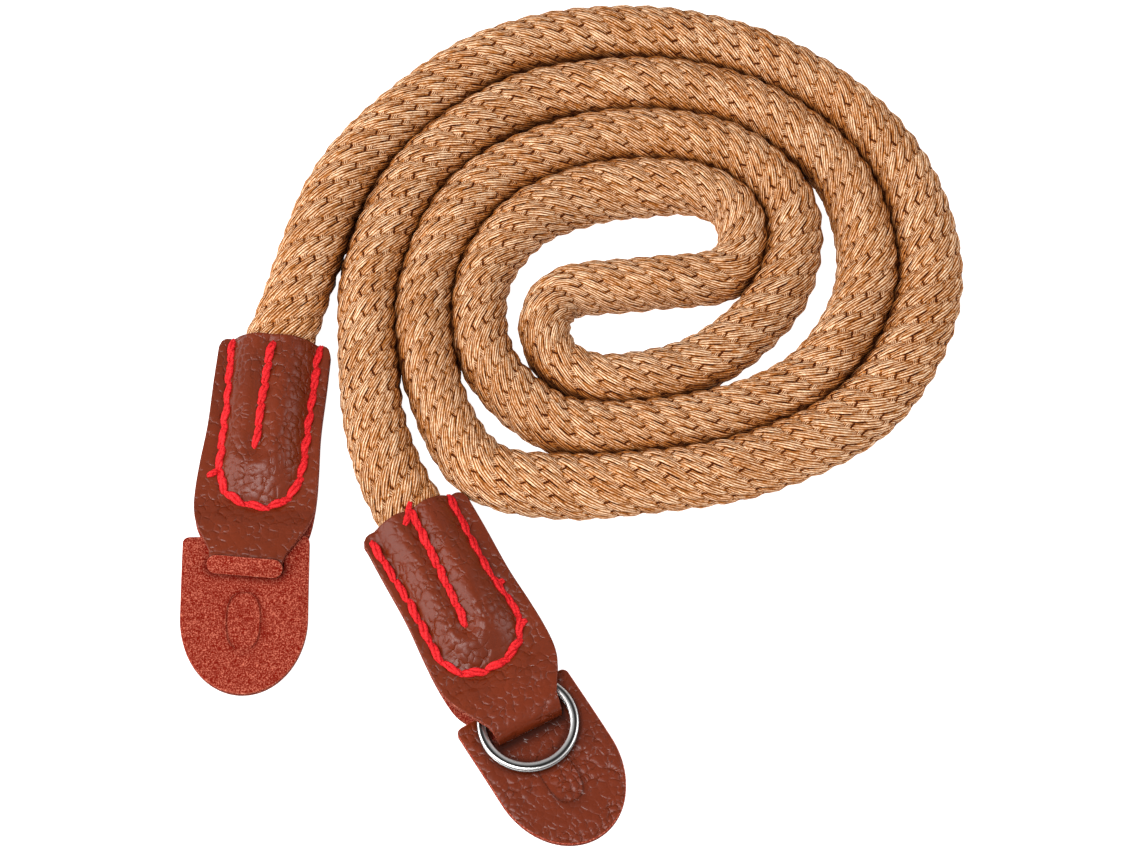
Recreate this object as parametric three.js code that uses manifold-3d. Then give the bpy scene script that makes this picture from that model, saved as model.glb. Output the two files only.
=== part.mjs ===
// A rope camera strap, wound up flat: a braided rope whose two ends are sewn into folded leather tabs. The loop
// of each tab carries a steel split ring and a leather guard that keeps the ring off the camera.
// Millimetres, +Z up, lying on the plane z = 0.

import * as THREE from 'three';
import { mergeVertices } from 'three/addons/utils/BufferGeometryUtils.js';
import Module from 'manifold-3d';

const wasm = await Module();
wasm.setup();

// Driving dimensions
const ROPE_HEIGHT = 11.8;
const ROPE_SIDES = 10;
const STEPS_PER_POINT = 2;
const TAB_LEATHER = 1.2; // one ply of a tab
const GUARD_LEATHER = 1.4;
const TAB_LENGTH = 49.6; // from the mouth to the outside of the fold
const LOOP_INSIDE = 4.35; // between the two plies, where the ring and the guard lie
const FOLD_HALF_WIDTH = 6.8;
const RING_OUTER_RADIUS = 9.75;
const RING_INNER_RADIUS = 8.1;
const RING_HEIGHT = 1.8;
const RING_SEGMENTS = 40;
const RING_ABOVE_FOLD = 1.2; // the ring's centre, back from the outside of the fold
const GUARD_WIDTH = 24.8;
const GUARD_LENGTH = 32;
const GUARD_NOSE = 15.2; // length of the rounded end
const GUARD_CORNER = 1.3;
const GUARD_NOSE_STATIONS = [18.5, 19.8, 23, 27, 30.5, 31.3, 31.8]; // more sections where the outline rounds off
const FOLD_IN_GUARD = 7.6; // outside of the tab's fold, from the guard's straight edge
const SLOT = { start: 3.7, width: 4.8, length: 17 };
const OVAL = { middle: 16.8, halfLength: 6.1, halfWidth: 3.4, cut: 0.35, bridgeDeg: 24 };
const FLAP = { start: 9.6, width: 4.8, length: 14.9, tiltDeg: 32, drop: 0.05 };
const CUT_REACH = 4; // how far a cut runs past the leather on each side
const ARC_SEGMENTS = 12;
const OVAL_SEGMENTS = 28;

// Sizes that follow
const LOOP_HEIGHT = LOOP_INSIDE + 2 * TAB_LEATHER;
const FOLD_RADIUS = LOOP_HEIGHT / 2;
const FOLD_CENTRE = TAB_LENGTH - FOLD_RADIUS;
const GUARD_HALF_WIDTH = GUARD_WIDTH / 2;

// The rope is folded at its middle, and both leads wind outwards round that point, half a turn apart. turn: degrees
// wound since the middle; radius: of the centre line; width: of the rope, which is squeezed where it bends tightly
const COIL_MIDDLE = { x: 13.3, y: 26.6 };
const COIL_A = [
  { turn: 10, radius: 16.8, width: 10.4 },
  { turn: 24, radius: 22.4, width: 9.8 },
  { turn: 44, radius: 25.0, width: 9.4 },
  { turn: 64, radius: 23.8, width: 9.8 },
  { turn: 90, radius: 21.2, width: 10.4 },
  { turn: 120, radius: 20.9, width: 10.8 },
  { turn: 150, radius: 22.7, width: 10.8 },
  { turn: 180, radius: 28.5, width: 10.6 },
  { turn: 210, radius: 34.8, width: 10.2 },
  { turn: 240, radius: 35.4, width: 10.2 },
  { turn: 270, radius: 33.9, width: 10.6 },
  { turn: 300, radius: 35.5, width: 10.8 },
  { turn: 330, radius: 39.9, width: 10.8 },
  { turn: 360, radius: 43.9, width: 10.4 },
  { turn: 390, radius: 48.3, width: 10.9 },
  { turn: 412, radius: 51.4, width: 11.4 },
  { turn: 430, radius: 47.9, width: 11.6 },
  { turn: 450, radius: 44.0, width: 11.8 },
  { turn: 480, radius: 45.8, width: 12.0 },
  { turn: 510, radius: 52.5, width: 12.2 },
  { turn: 540, radius: 58.0, width: 12.2 },
  { turn: 570, radius: 59.8, width: 11.6 },
  { turn: 600, radius: 59.1, width: 11.4 },
  { turn: 630, radius: 58.7, width: 11.4 },
  { turn: 660, radius: 61.1, width: 11.6 },
  { turn: 690, radius: 64.8, width: 11.8 },
];
const COIL_B = [
  { turn: 10, radius: 16.8, width: 10.4 },
  { turn: 24, radius: 22.3, width: 9.4 },
  { turn: 44, radius: 25.2, width: 9.0 },
  { turn: 64, radius: 24.0, width: 9.4 },
  { turn: 90, radius: 22.3, width: 10.6 },
  { turn: 120, radius: 23.5, width: 11.0 },
  { turn: 150, radius: 27.8, width: 10.8 },
  { turn: 180, radius: 32.5, width: 10.2 },
  { turn: 210, radius: 35.7, width: 10.4 },
  { turn: 240, radius: 35.7, width: 10.4 },
  { turn: 270, radius: 32.3, width: 10.6 },
  { turn: 300, radius: 33.3, width: 10.8 },
  { turn: 330, radius: 38.9, width: 11.6 },
  { turn: 360, radius: 44.5, width: 11.8 },
  { turn: 390, radius: 47.1, width: 11.0 },
  { turn: 412, radius: 46.9, width: 10.9 },
  { turn: 430, radius: 46.3, width: 10.9 },
  { turn: 450, radius: 46.0, width: 11.1 },
  { turn: 480, radius: 48.4, width: 11.3 },
  { turn: 510, radius: 52.2, width: 11.1 },
  { turn: 540, radius: 55.4, width: 11.1 },
];

// The free stretch of each lead, from the coil to its tab
const LEAD_A = [
  { x: -50.1, y: 46.4, width: 12.4 },
  { x: -54.8, y: 33.0, width: 12.8 },
  { x: -57.8, y: 22.8, width: 13.0 },
];
const LEAD_B = [
  { x: -42.6, y: 16.4, width: 11.5 },
  { x: -41.9, y: 5.4, width: 12.0 },
  { x: -39.8, y: -5.6, width: 12.4 },
  { x: -36.7, y: -15.0, width: 13.0 },
];

// The rope's end in its tab, pinched by the leather. along: from the tab's mouth; z: of the centre line
const ROPE_END = [
  { along: -3, z: 5.4, width: 13.0, height: 9.2 },
  { along: 0, z: 5.4, width: 13.8, height: 7.3 },
  { along: 12, z: 5.4, width: 13.8, height: 7.3 },
  { along: 22, z: 5.1, width: 13.0, height: 6.6 },
  { along: 29, z: 4.6, width: 9.6, height: 4.2 },
];

// The tab's outside. halfWidth: of the outline; mid: height of the seam at its flanks; low, high: the underside
// and the crown over the rope; past the seam the two plies part round the ring, so the flanks are as high
const TAB = [
  { along: 0, halfWidth: 11.2, mid: 5.4, low: 0, high: 10.8 },
  { along: 9, halfWidth: 11.3, mid: 5.4, low: 0, high: 10.9 },
  { along: 20, halfWidth: 11.3, mid: 5.1, low: 0, high: 10.5 },
  { along: 27.5, halfWidth: 11.8, mid: 4.8, low: 0.1, high: 9.4 },
  { along: 32.5, halfWidth: 12.0, mid: 4.4, low: 1.5, high: 6.9 },
  { along: 35.6, halfWidth: 11.9, mid: 4.1, low: 2.8, high: 5.4 },
];
const TAB_LOOP = [
  { along: 37.9, halfWidth: 11.5, inset: 0.1 },
  { along: 41, halfWidth: 10.4, inset: 0 },
  { along: 43.8, halfWidth: 8.8, inset: 0 },
  { along: FOLD_CENTRE, halfWidth: 7.4, inset: 0 },
];
const FOLD_STEPS_DEG = [30, 55, 75];
// The bulge over the rope across a tab, as a share of the half width and of the crown's height
const TAB_BULGE = [
  { across: 1, top: 0, under: 0 },
  { across: 0.73, top: 0, under: 0 },
  { across: 0.5, top: 0.8, under: 0.9 },
  { across: 0.25, top: 1, under: 1 },
  { across: 0, top: 0.9, under: 1 },
];
const POCKET_SIDES = 16;
const POCKET = [
  { along: -1, halfWidth: 7.9, low: 1.2, high: 9.6 },
  { along: 9, halfWidth: 7.9, low: 1.2, high: 9.7 },
  { along: 20, halfWidth: 7.9, low: 1.2, high: 9.3 },
  { along: 27.5, halfWidth: 7.3, low: 1.3, high: 8.2 },
  { along: 31.5, halfWidth: 5.4, low: 2.3, high: 6.2 },
  { along: 33.5, halfWidth: 3, low: 3.1, high: 5.1 },
];
const LOOP_START = 36; // where the two plies part, just past the seam
const LOOP_OPEN = 37.9;

// Where each end lies. heading: degrees from -Y towards +X; guardTurn: the guard's own turn about the fold;
// ringZ: underside of the ring at its centre; guardZ: underside of the guard at GUARD_STATIONS
const GUARD_STATIONS = [0, 4, 8.6, 13, 16.8, 21, 25, 29, 32];
const ENDS = [
  {
    side: 'left',
    mouth: { x: -60.5, y: 13.3 },
    heading: -5,
    guardTurn: 5.5,
    ringZ: 1.4,
    ringTiltDeg: 3,
    guardZ: [3.85, 3.85, 3.8, 3.6, 3.3, 2.9, 2.5, 2.1, 1.8],
    flap: true,
  },
  {
    side: 'right',
    mouth: { x: -32.5, y: -24.2 },
    heading: 28.2,
    guardTurn: 4,
    ringZ: 3.2,
    ringTiltDeg: 0,
    guardZ: [1.5, 1.5, 1.5, 1.35, 1.1, 0.7, 0.35, 0.1, 0],
    flap: false,
  },
];

const ROPE_MATERIAL = new THREE.MeshStandardMaterial({ color: 0xb98750, roughness: 0.85, metalness: 0 });
const LEATHER_MATERIAL = new THREE.MeshStandardMaterial({ color: 0x7a3a22, roughness: 0.5, metalness: 0 });
const STEEL_MATERIAL = new THREE.MeshStandardMaterial({ color: 0xc9c9cb, roughness: 0.22, metalness: 1 });

// A closed skin through rings of points that each run anticlockwise about the way the rings follow each other
function loft(rings) {
  const count = rings[0].length;
  const points = rings.flat();
  const index = [];
  for (let row = 0; row + 1 < rings.length; row += 1) {
    for (let k = 0; k < count; k += 1) {
      const a = row * count + k;
      const b = row * count + ((k + 1) % count);
      index.push(a, b, b + count, a, b + count, a + count);
    }
  }
  const middle = (ring) => ring.reduce((sum, p) => sum.add(p), new THREE.Vector3()).divideScalar(count);
  const first = points.push(middle(rings[0])) - 1;
  const last = points.push(middle(rings[rings.length - 1])) - 1;
  const lastRow = (rings.length - 1) * count;
  for (let k = 0; k < count; k += 1) {
    const next = (k + 1) % count;
    index.push(first, next, k, last, lastRow + k, lastRow + next);
  }
  const geometry = new THREE.BufferGeometry().setFromPoints(points);
  geometry.setIndex(index);
  geometry.computeVertexNormals();
  return geometry;
}

function solidOf(geometry) {
  const bare = geometry.clone();
  bare.deleteAttribute('normal');
  bare.deleteAttribute('uv');
  const merged = mergeVertices(bare);
  const mesh = new wasm.Mesh({
    numProp: 3,
    vertProperties: new Float32Array(merged.attributes.position.array),
    triVerts: new Uint32Array(merged.index.array),
  });
  return new wasm.Manifold(mesh);
}

function geometryOf(solid) {
  const mesh = solid.getMesh();
  const geometry = new THREE.BufferGeometry();
  geometry.setAttribute('position', new THREE.BufferAttribute(mesh.vertProperties, 3));
  geometry.setIndex(new THREE.BufferAttribute(mesh.triVerts, 1));
  geometry.computeVertexNormals();
  return geometry;
}

function namedMesh(name, geometry, material) {
  const mesh = new THREE.Mesh(geometry, material);
  mesh.name = name;
  return mesh;
}

// A point of an end's own frame: across to the right of the way it points, along that way, and up
function endPoint(across, along, up) {
  return new THREE.Vector3(across, -along, up);
}

function placeOnTable(end, along) {
  const heading = THREE.MathUtils.degToRad(end.heading);
  return {
    x: end.mouth.x + along * Math.sin(heading),
    y: end.mouth.y - along * Math.cos(heading),
  };
}

// The route of the whole rope, from its end in the left tab to its end in the right one
function ropeRoute() {
  const lying = (row) => ({ z: ROPE_HEIGHT / 2, height: ROPE_HEIGHT, ...row });
  const inTab = (end) => ROPE_END.map((row) => ({ ...row, ...placeOnTable(end, row.along) }));
  const coil = (rows, startDeg) => rows.map((row) => {
    const bearing = THREE.MathUtils.degToRad(startDeg + row.turn);
    const x = COIL_MIDDLE.x + row.radius * Math.cos(bearing);
    const y = COIL_MIDDLE.y + row.radius * Math.sin(bearing);
    return lying({ x, y, width: row.width });
  });
  const [left, right] = ENDS;
  return [
    ...inTab(left).reverse(),
    ...LEAD_A.map(lying).reverse(),
    ...coil(COIL_A, 180).reverse(),
    lying({ ...COIL_MIDDLE, width: COIL_A[0].width }),
    ...coil(COIL_B, 0),
    ...LEAD_B.map(lying),
    ...inTab(right),
  ];
}

function ropeGeometry() {
  const route = ropeRoute();
  const curve = new THREE.CatmullRomCurve3(route.map((p) => new THREE.Vector3(p.x, p.y, p.z)));
  const up = new THREE.Vector3(0, 0, 1);
  const flatTop = Math.cos(Math.PI / ROPE_SIDES);
  const spans = route.length - 1;
  const steps = spans * STEPS_PER_POINT;
  const rings = [];
  for (let step = 0; step <= steps; step += 1) {
    const place = step / STEPS_PER_POINT;
    const from = Math.min(Math.floor(place), spans - 1);
    const share = place - from;
    const width = THREE.MathUtils.lerp(route[from].width, route[from + 1].width, share);
    const height = THREE.MathUtils.lerp(route[from].height, route[from + 1].height, share);
    const centre = curve.getPoint(step / steps);
    centre.z = THREE.MathUtils.lerp(route[from].z, route[from + 1].z, share);
    const side = up.clone().cross(curve.getTangent(step / steps)).normalize();
    const ring = [];
    for (let k = 0; k < ROPE_SIDES; k += 1) {
      const angle = (2 * Math.PI * k) / ROPE_SIDES;
      const across = (width / 2) * Math.cos(angle);
      const lift = ((height / 2) * Math.sin(angle)) / flatTop;
      ring.push(centre.clone().addScaledVector(side, across).addScaledVector(up, lift));
    }
    rings.push(ring);
  }
  return loft(rings);
}

// One cross-section of a tab's outside, over the top from right to left and back underneath
function tabSection(row) {
  const { along, halfWidth, low, high, flankLow, flankHigh } = row;
  const mirrored = TAB_BULGE.slice(0, -1).reverse().map((b) => ({ ...b, across: -b.across }));
  const bulge = [...TAB_BULGE, ...mirrored];
  const top = bulge.map((b) => endPoint(b.across * halfWidth, along, flankHigh + (high - flankHigh) * b.top));
  const under = bulge.map((b) => endPoint(b.across * halfWidth, along, flankLow + (low - flankLow) * b.under));
  return [...top, ...under.reverse()];
}

function tabGeometry() {
  const sewn = TAB.map((row) => ({ ...row, flankLow: row.mid - TAB_LEATHER, flankHigh: row.mid + TAB_LEATHER }));
  const level = (along, halfWidth, low, high) => ({ along, halfWidth, low, high, flankLow: low, flankHigh: high });
  const loop = TAB_LOOP.map((row) => level(row.along, row.halfWidth, row.inset, LOOP_HEIGHT - row.inset));
  const fold = FOLD_STEPS_DEG.map((deg) => {
    const angle = THREE.MathUtils.degToRad(deg);
    const half = FOLD_RADIUS * Math.cos(angle);
    const along = FOLD_CENTRE + FOLD_RADIUS * Math.sin(angle);
    return level(along, FOLD_HALF_WIDTH, FOLD_RADIUS - half, FOLD_RADIUS + half);
  });
  const outside = solidOf(loft([...sewn, ...loop, ...fold].map(tabSection)));

  const pocketRings = POCKET.map((row) => {
    const middle = (row.low + row.high) / 2;
    const half = (row.high - row.low) / 2;
    return Array.from({ length: POCKET_SIDES }, (_, k) => {
      const angle = (2 * Math.PI * k) / POCKET_SIDES;
      return endPoint(row.halfWidth * Math.cos(angle), row.along, middle + half * Math.sin(angle));
    });
  });
  const pocket = solidOf(loft(pocketRings));

  // The inside of the loop, drawn along and up, and cut right across the tab
  const inside = new THREE.Shape();
  inside.moveTo(LOOP_START, FOLD_RADIUS);
  inside.lineTo(LOOP_OPEN, TAB_LEATHER);
  inside.lineTo(FOLD_CENTRE, TAB_LEATHER);
  inside.absarc(FOLD_CENTRE, FOLD_RADIUS, FOLD_RADIUS - TAB_LEATHER, -Math.PI / 2, Math.PI / 2, false);
  inside.lineTo(LOOP_OPEN, LOOP_HEIGHT - TAB_LEATHER);
  inside.closePath();
  const cutWidth = GUARD_WIDTH + 2 * CUT_REACH;
  const settings = { depth: cutWidth, bevelEnabled: false, curveSegments: ARC_SEGMENTS };
  const loopCut = new THREE.ExtrudeGeometry(inside, settings);
  const toEnd = new THREE.Matrix4().makeBasis(endPoint(0, 1, 0), endPoint(0, 0, 1), endPoint(-1, 0, 0));
  loopCut.applyMatrix4(toEnd);
  loopCut.translate(cutWidth / 2, 0, 0);
  return geometryOf(outside.subtract(pocket).subtract(solidOf(loopCut)));
}

function stadium(length, width) {
  const radius = width / 2;
  const reach = length / 2 - radius;
  const shape = new THREE.Shape();
  shape.moveTo(-reach, -radius);
  shape.absarc(reach, 0, radius, -Math.PI / 2, Math.PI / 2, false);
  shape.absarc(-reach, 0, radius, Math.PI / 2, (3 * Math.PI) / 2, false);
  return shape;
}

// The die cut in the guard: a thin oval line, left uncut at a bridge towards the rounded end
function ovalCut() {
  const bridge = THREE.MathUtils.degToRad(OVAL.bridgeDeg / 2);
  const from = -Math.PI / 2 + bridge;
  const to = (3 * Math.PI) / 2 - bridge;
  const shape = new THREE.Shape();
  shape.absellipse(0, 0, OVAL.halfWidth, OVAL.halfLength, from, to, false, 0);
  shape.absellipse(0, 0, OVAL.halfWidth - OVAL.cut, OVAL.halfLength - OVAL.cut, to, from, true, 0);
  shape.closePath();
  return shape;
}

function guardHalfWidth(along) {
  const shoulder = GUARD_LENGTH - GUARD_NOSE;
  if (along <= shoulder) {
    return GUARD_HALF_WIDTH;
  }
  const share = Math.min((along - shoulder) / GUARD_NOSE, 1);
  return GUARD_HALF_WIDTH * Math.sqrt(1 - share * share);
}

// A guard: a leather wall that bends down from the loop to the table, cut through by its slot and its oval
function guardGeometry(end) {
  const bendAt = (along) => {
    const next = GUARD_STATIONS.findIndex((station) => station >= along);
    const after = Math.max(next, 1);
    const span = GUARD_STATIONS[after] - GUARD_STATIONS[after - 1];
    const share = (along - GUARD_STATIONS[after - 1]) / span;
    return THREE.MathUtils.lerp(end.guardZ[after - 1], end.guardZ[after], share);
  };
  const section = (along, halfWidth) => {
    const low = bendAt(along);
    const high = low + GUARD_LEATHER;
    return [
      endPoint(halfWidth, along, high),
      endPoint(-halfWidth, along, high),
      endPoint(-halfWidth, along, low),
      endPoint(halfWidth, along, low),
    ];
  };
  const inner = GUARD_STATIONS.slice(1, -1);
  const stations = [GUARD_CORNER, ...inner, ...GUARD_NOSE_STATIONS].sort((a, b) => a - b);
  const rings = [
    section(0, GUARD_HALF_WIDTH - GUARD_CORNER),
    ...stations.map((along) => section(along, guardHalfWidth(along))),
  ];
  const wall = solidOf(loft(rings));

  const depth = Math.max(...end.guardZ) + GUARD_LEATHER + 2 * CUT_REACH;
  const settings = { depth, bevelEnabled: false, curveSegments: ARC_SEGMENTS };
  const slot = new THREE.ExtrudeGeometry(stadium(SLOT.length, SLOT.width), settings);
  slot.translate(0, -(SLOT.start + SLOT.width / 2), -CUT_REACH);
  const oval = new THREE.ExtrudeGeometry(ovalCut(), { ...settings, curveSegments: OVAL_SEGMENTS });
  oval.translate(0, -OVAL.middle, -CUT_REACH);
  let guard = wall.subtract(solidOf(slot)).subtract(solidOf(oval));

  if (end.flap) {
    // The piece punched out for the slot hangs on at its lower edge and lies over the tab's fold
    const plate = { depth: GUARD_LEATHER, bevelEnabled: false, curveSegments: ARC_SEGMENTS };
    const flap = new THREE.ExtrudeGeometry(stadium(FLAP.length, FLAP.width), plate);
    flap.translate(0, FLAP.width / 2, 0);
    flap.rotateX(THREE.MathUtils.degToRad(FLAP.tiltDeg));
    flap.translate(0, -FLAP.start, bendAt(FLAP.start) + GUARD_LEATHER - FLAP.drop);
    guard = guard.add(solidOf(flap));
  }
  return geometryOf(guard);
}

// A split ring, two turns of flattened wire lying on each other, as one solid with a groove between the turns
function ringGeometry() {
  const round = 0.25;
  const groove = 0.2;
  const half = RING_HEIGHT / 2;
  const profile = [
    [RING_INNER_RADIUS + round, 0],
    [RING_OUTER_RADIUS - round, 0],
    [RING_OUTER_RADIUS, round],
    [RING_OUTER_RADIUS, half - groove],
    [RING_OUTER_RADIUS - groove, half],
    [RING_OUTER_RADIUS, half + groove],
    [RING_OUTER_RADIUS, RING_HEIGHT - round],
    [RING_OUTER_RADIUS - round, RING_HEIGHT],
    [RING_INNER_RADIUS + round, RING_HEIGHT],
    [RING_INNER_RADIUS, RING_HEIGHT - round],
    [RING_INNER_RADIUS, half + groove],
    [RING_INNER_RADIUS + groove, half],
    [RING_INNER_RADIUS, half - groove],
    [RING_INNER_RADIUS, round],
    [RING_INNER_RADIUS + round, 0],
  ].map(([radius, height]) => new THREE.Vector2(radius, height));
  const geometry = new THREE.LatheGeometry(profile, RING_SEGMENTS);
  geometry.rotateX(Math.PI / 2);
  return geometry;
}

// The tab, ring and guard of one end, in a group that is turned to the way the end points
function strapEnd(end) {
  const group = new THREE.Group();
  group.position.set(end.mouth.x, end.mouth.y, 0);
  group.rotation.z = THREE.MathUtils.degToRad(end.heading);
  group.add(namedMesh(`${end.side}_tab`, tabGeometry(), LEATHER_MATERIAL));

  const ring = namedMesh(`${end.side}_ring`, ringGeometry(), STEEL_MATERIAL);
  ring.position.copy(endPoint(0, TAB_LENGTH - RING_ABOVE_FOLD, end.ringZ));
  ring.rotation.x = THREE.MathUtils.degToRad(end.ringTiltDeg);
  group.add(ring);

  const turned = new THREE.Group();
  turned.position.copy(endPoint(0, TAB_LENGTH, 0));
  turned.rotation.z = THREE.MathUtils.degToRad(end.guardTurn);
  const guard = namedMesh(`${end.side}_protector`, guardGeometry(end), LEATHER_MATERIAL);
  guard.position.copy(endPoint(0, -FOLD_IN_GUARD, 0));
  turned.add(guard);
  group.add(turned);
  return group;
}

const strap = new THREE.Group();
strap.add(namedMesh('rope', ropeGeometry(), ROPE_MATERIAL));
ENDS.forEach((end) => strap.add(strapEnd(end)));

export default strap;
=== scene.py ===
import math
from functools import partialmethod

import bpy
import numpy as np
from bpy.props import FloatProperty, FloatVectorProperty, PointerProperty
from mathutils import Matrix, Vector


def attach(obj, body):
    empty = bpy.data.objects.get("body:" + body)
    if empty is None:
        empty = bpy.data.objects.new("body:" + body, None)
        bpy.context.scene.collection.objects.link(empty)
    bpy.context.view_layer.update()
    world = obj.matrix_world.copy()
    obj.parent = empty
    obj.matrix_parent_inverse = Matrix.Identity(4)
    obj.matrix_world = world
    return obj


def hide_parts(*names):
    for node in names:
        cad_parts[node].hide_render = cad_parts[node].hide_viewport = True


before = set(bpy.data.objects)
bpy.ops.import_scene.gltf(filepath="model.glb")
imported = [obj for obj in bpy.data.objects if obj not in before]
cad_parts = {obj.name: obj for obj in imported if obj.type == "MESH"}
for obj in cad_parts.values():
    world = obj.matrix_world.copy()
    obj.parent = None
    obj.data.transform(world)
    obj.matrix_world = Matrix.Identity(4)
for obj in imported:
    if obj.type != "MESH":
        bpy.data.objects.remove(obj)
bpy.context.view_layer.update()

bl_info = {
    "name": "Rope camera strap",
    "version": (1, 0, 0),
    "blender": (4, 5, 0),
    "location": "View3D > Sidebar > Strap",
    "description": "Dresses a wound rope camera strap: braid, leather ends, stitching, rings and stage",
    "category": "Object",
}

MM = 0.001

# The rope's route, in millimetres. It is folded at its middle, and both leads wind outwards round that
# point, half a turn apart. Columns: degrees wound since the middle, radius of the centre line, rope's width
COIL_MIDDLE = (13.3, 26.6)
COIL_A = (
    (9, 16.8, 10.0), (24, 21.9, 9.6), (44, 24.5, 9.2), (64, 23.8, 9.8), (90, 21.2, 10.4),
    (120, 20.9, 10.8), (150, 22.9, 10.8), (180, 28.5, 10.6), (210, 34.8, 10.2), (240, 35.4, 10.2),
    (270, 33.9, 10.6), (300, 35.5, 10.8), (330, 39.9, 10.8), (360, 43.9, 10.4), (390, 48.1, 10.2),
    (412, 52.2, 11.8), (430, 47.7, 12.3), (450, 43.8, 11.8), (480, 45.6, 12.0), (510, 52.7, 12.2),
    (540, 57.9, 12.2), (570, 59.2, 11.2), (600, 58.5, 11.0), (630, 58.7, 11.4), (660, 61.4, 11.6),
    (690, 64.4, 11.8),
)
COIL_B = (
    (9, 16.8, 10.0), (24, 22.0, 9.0), (44, 25.2, 9.0), (64, 24.0, 9.4), (90, 22.0, 11.5),
    (120, 23.3, 11.7), (150, 27.8, 10.8), (180, 32.5, 10.2), (210, 35.7, 10.4), (240, 35.9, 10.6),
    (270, 32.3, 10.6), (300, 33.5, 10.4), (330, 39.3, 10.8), (360, 44.8, 11.5), (390, 47.4, 10.6),
    (412, 46.9, 10.9), (430, 46.3, 10.9), (450, 46.0, 11.1), (480, 48.4, 11.3), (510, 52.2, 11.1),
    (540, 55.4, 11.1),
)
# The free stretch of each lead, from the coil to its tab. Columns: x, y, width
LEAD_A = ((-50.0, 46.4, 12.2), (-54.3, 33.0, 12.2), (-57.0, 22.8, 12.4))
LEAD_B = ((-42.3, 16.4, 10.8), (-41.7, 5.4, 11.1), (-40.0, -5.6, 11.6), (-37.1, -15.0, 12.4))
# The rope's end in its tab. Columns: along from the tab's mouth, height of the centre line, width, height
ROPE_END = (
    (-3, 5.4, 12.8, 9.2),
    (0, 5.4, 13.2, 7.3),
    (12, 5.4, 13.8, 7.3),
    (22, 5.1, 13.0, 6.6),
    (29, 4.6, 9.6, 4.2),
)
# Where each end lies: its tab's mouth, how far the rope enters it aside of its middle, its heading in
# degrees from -Y towards +X, its guard's own turn, and the guard's underside at the stations down its length.
# The lines of stitches are (along, across) on the tab
ENDS = {
    "left": {
        "mouth": (-60.5, 13.3),
        "rope_aside": (1.2, 0.6, 0, 0, 0),
        "heading": -5.0,
        "guard_turn": 5.5,
        "guard_bend": (3.85, 3.85, 3.8, 3.6, 3.3, 2.9, 2.5, 2.1, 1.8),
        "suede_up": True,
        "flap": True,
        "ring_up": 1.4,
        "ring_tilt": 3.0,
        "ring_start": 20.0,
        "oval_middle": 17.5,
        "oval_bridge": -90.0,
        "valley": 1.3,
        "side_line": (
            (0.3, -8.7), (9, -8.2), (17.8, -7.8), (26.7, -7.8), (31.2, -7.1), (34.3, -4.9), (35.7, 0.6),
            (35.1, 4.9), (31, 8), (26.4, 8.6), (18.3, 8.6), (8.1, 8.8), (0.3, 8.8),
        ),
        "middle_line": ((1.6, -0.3), (10, -0.6), (24.4, -0.8)),
        "loose_threads": (((28.6, -7.6), (30.2, -9.9)),),
    },
    "right": {
        "mouth": (-32.5, -24.2),
        "rope_aside": (0, 0, 0, 0, 0),
        "heading": 28.2,
        "guard_turn": 4.0,
        "guard_bend": (1.5, 1.5, 1.5, 1.35, 1.1, 0.7, 0.35, 0.1, 0),
        "suede_up": False,
        "flap": False,
        "ring_up": 3.2,
        "ring_tilt": 0.0,
        "ring_start": 100.0,
        "oval_middle": 18.0,
        "oval_bridge": 90.0,
        "valley": 1.9,
        "side_line": (
            (1.6, -9.8), (12.4, -9.2), (21.1, -9), (29.1, -9.3), (31.4, -8.7), (34.8, -5.7), (35.7, -2),
            (35.2, 2.9), (32.8, 6.5), (29.9, 8.4), (25.4, 8.4), (18.6, 7.4), (9.9, 7.6), (0.1, 8.0),
        ),
        "middle_line": ((0.3, -0.4), (12, -1.0), (26.3, -1.7)),
        "loose_threads": (
            ((-1.2, 0.3), (2.8, -2.5)),
            ((2.9, -2.9), (0.8, -0.9)),
            ((21.4, 7.5), (20.8, 9.3)),
            ((30.6, 7.6), (30, 9.4)),
        ),
    },
}


def length_property(name, description, metres):
    return FloatProperty(name=name, description=description, default=metres, unit="LENGTH")


def angle_property(name, description, degrees):
    return FloatProperty(name=name, description=description, default=math.radians(degrees), subtype="ANGLE")


def colour_property(name, description, default):
    return FloatVectorProperty(name=name, description=description, default=default, subtype="COLOR", max=1.0)


class RopeSettings(bpy.types.PropertyGroup):
    """Sizes and colours of the braided rope"""

    height: length_property("Height", "Rope's height as it lies", 0.0118)
    repeat: length_property("Braid repeat", "Length along the rope after which the braid repeats", 0.0044)
    relief: length_property("Relief", "How far a strand stands out", 0.001)
    tan: colour_property("Tan", "Colour of the yarn", (0.48, 0.168, 0.034))
    # Pale is the painted highlight on the yarns' ridges, deep brown the painted shade between the strands and
    # in the crevices
    pale: colour_property("Pale tan", "Colour of the yarn's ridges", (0.94, 0.66, 0.43))
    deep: colour_property("Deep brown", "Colour between the strands", (0.055, 0.010, 0.002))


class LeatherSettings(bpy.types.PropertyGroup):
    """Sizes and colours of the leather"""

    tab: length_property("Tab leather", "A tab ply's thickness", 0.0012)
    guard: length_property("Guard leather", "A guard's thickness", 0.0014)
    pebbles: FloatProperty(name="Pebbles", description="Pebbles of the grain per metre", default=620.0)
    grain: FloatProperty(name="Grain", description="How strongly the pebbles stand out", default=0.8)
    brown: colour_property("Brown", "Grain side", (0.114, 0.0155, 0.0032))
    suede: colour_property("Suede", "Rough side", (0.19, 0.022, 0.01))
    edge: colour_property("Edge", "Cut edge", (0.12, 0.024, 0.013))
    # The rim colour, paler than the cut edge's wall, is partly the raw leather and partly a painted highlight
    # where the rounded rim catches the light
    rim: colour_property("Rim", "Worn rim of a cut edge", (0.28, 0.085, 0.058))


class ThreadSettings(bpy.types.PropertyGroup):
    """Sizes and colour of the stitching"""

    stitch: length_property("Stitch", "Length of a stitch", 0.0047)
    thickness: length_property("Thickness", "Width of a stitch", 0.0017)
    red: colour_property("Red", "Colour of the thread", (0.62, 0.007, 0.011))


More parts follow.
